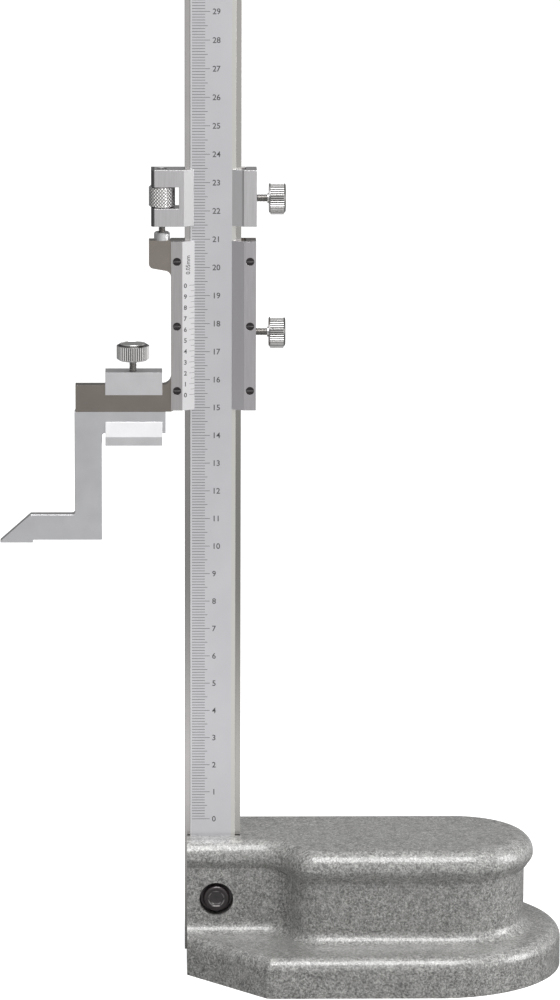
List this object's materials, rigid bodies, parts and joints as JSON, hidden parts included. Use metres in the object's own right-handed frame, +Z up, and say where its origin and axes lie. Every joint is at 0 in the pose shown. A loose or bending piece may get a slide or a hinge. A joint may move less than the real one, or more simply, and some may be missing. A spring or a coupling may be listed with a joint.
{
  "type": "height gauge",
  "caption": "Vernier height gauge: two-storey cast base, graduated beam, slider with vernier and fine feed, clamped scriber.",
  "frame": {"origin": "on the ground underside of the base, below the centre line of the beam's graduated face", "axes": "+Z up along the beam, -Y out of the graduated face, +X from the beam towards the round end of the base"},
  "size_m": [0.1998, 0.0906, 0.44],
  "materials": {
    "hammered_paint": "glossy grey-green hammered paint on cast iron, with dark veins",
    "satin_chrome": "satin chrome on hardened steel",
    "polished_steel": "fine ground bright steel",
    "ground_steel": "ground tool steel",
    "bright_chrome": "bright plated, knurled",
    "black_oxide": "black oxide"
  },
  "bodies": {
    "stand": {"base": "hammered_paint", "beam": "satin_chrome", "beam_clamp_screw": "black_oxide", "beam_clamp_washer": "black_oxide"},
    "slider": {"slider_frame": "polished_steel", "vernier_plate": "satin_chrome", "retaining_plate": "satin_chrome", "vernier_plate_screws": "black_oxide", "retaining_plate_screws": "black_oxide", "slider_gib": "polished_steel", "feed_rod": "polished_steel", "feed_rod_collar": "satin_chrome"},
    "slider_lock_screw": {"slider_lock_stem": "bright_chrome"},
    "slider_lock_head": {"slider_lock_knob": "bright_chrome"},
    "feed_carriage": {"feed_carrier": "satin_chrome", "carrier_gib": "polished_steel"},
    "feed_nut_ring": {"feed_nut": "bright_chrome"},
    "carrier_lock_screw": {"carrier_lock_stem": "bright_chrome"},
    "carrier_lock_head": {"carrier_lock_knob": "bright_chrome"},
    "scriber_clamp": {"scriber_clamp_body": "satin_chrome"},
    "scriber_clamp_screw": {"scriber_clamp_stem": "bright_chrome"},
    "scriber_clamp_head": {"scriber_clamp_knob": "bright_chrome"},
    "scriber_blade": {"scriber": "ground_steel"}
  },
  "joints": [
    {"name": "slider_travel", "type": "slide", "parent": "stand", "child": "slider", "axis": [0, 0, 1], "range_m": [-0.1547, 0.1452]},
    {"name": "slider_lock_advance", "type": "slide", "parent": "slider", "child": "slider_lock_screw", "axis": [1, 0, 0], "range_m": [0, 0.001]},
    {"name": "slider_lock_turn", "type": "hinge", "parent": "slider_lock_screw", "child": "slider_lock_head", "pos_m": [0.02, 0.0023, 0.2303], "axis": [1, 0, 0], "range_deg": [0, 724]},
    {"name": "carriage_feed", "type": "slide", "parent": "slider", "child": "feed_carriage", "axis": [0, 0, 1], "range_m": [-0.0018, 0.0045]},
    {"name": "feed_nut_turn", "type": "hinge", "parent": "feed_carriage", "child": "feed_nut_ring", "pos_m": [-0.0178, 0.0023, 0.2785], "axis": [0, 0, 1], "range_deg": [-1448, 3608]},
    {"name": "carrier_lock_advance", "type": "slide", "parent": "feed_carriage", "child": "carrier_lock_screw", "axis": [1, 0, 0], "range_m": [0, 0.001]},
    {"name": "carrier_lock_turn", "type": "hinge", "parent": "carrier_lock_screw", "child": "carrier_lock_head", "pos_m": [0.02, 0.0023, 0.2778], "axis": [1, 0, 0], "range_deg": [0, 724]},
    {"name": "scriber_clamp_shift", "type": "slide", "parent": "slider", "child": "scriber_clamp", "axis": [-1, 0, 0], "range_m": [0, 0.01]},
    {"name": "clamp_screw_advance", "type": "slide", "parent": "scriber_clamp", "child": "scriber_clamp_screw", "axis": [0, 0, 1], "range_m": [0, 0.001]},
    {"name": "clamp_screw_turn", "type": "hinge", "parent": "scriber_clamp_screw", "child": "scriber_clamp_head", "pos_m": [-0.02805, 0.0023, 0.2207], "axis": [0, 0, 1], "range_deg": [0, 724]},
    {"name": "scriber_shift", "type": "slide", "parent": "scriber_clamp", "child": "scriber_blade", "axis": [-1, 0, 0], "range_m": [0, 0.01]}
  ],
  "couplings": [
    {"joint": "slider_lock_turn", "follows": "slider_lock_advance", "rad_per_m": 12566},
    {"joint": "feed_nut_turn", "follows": "carriage_feed", "rad_per_m": 13963},
    {"joint": "carrier_lock_turn", "follows": "carrier_lock_advance", "rad_per_m": 12566},
    {"joint": "clamp_screw_turn", "follows": "clamp_screw_advance", "rad_per_m": 12566}
  ]
}
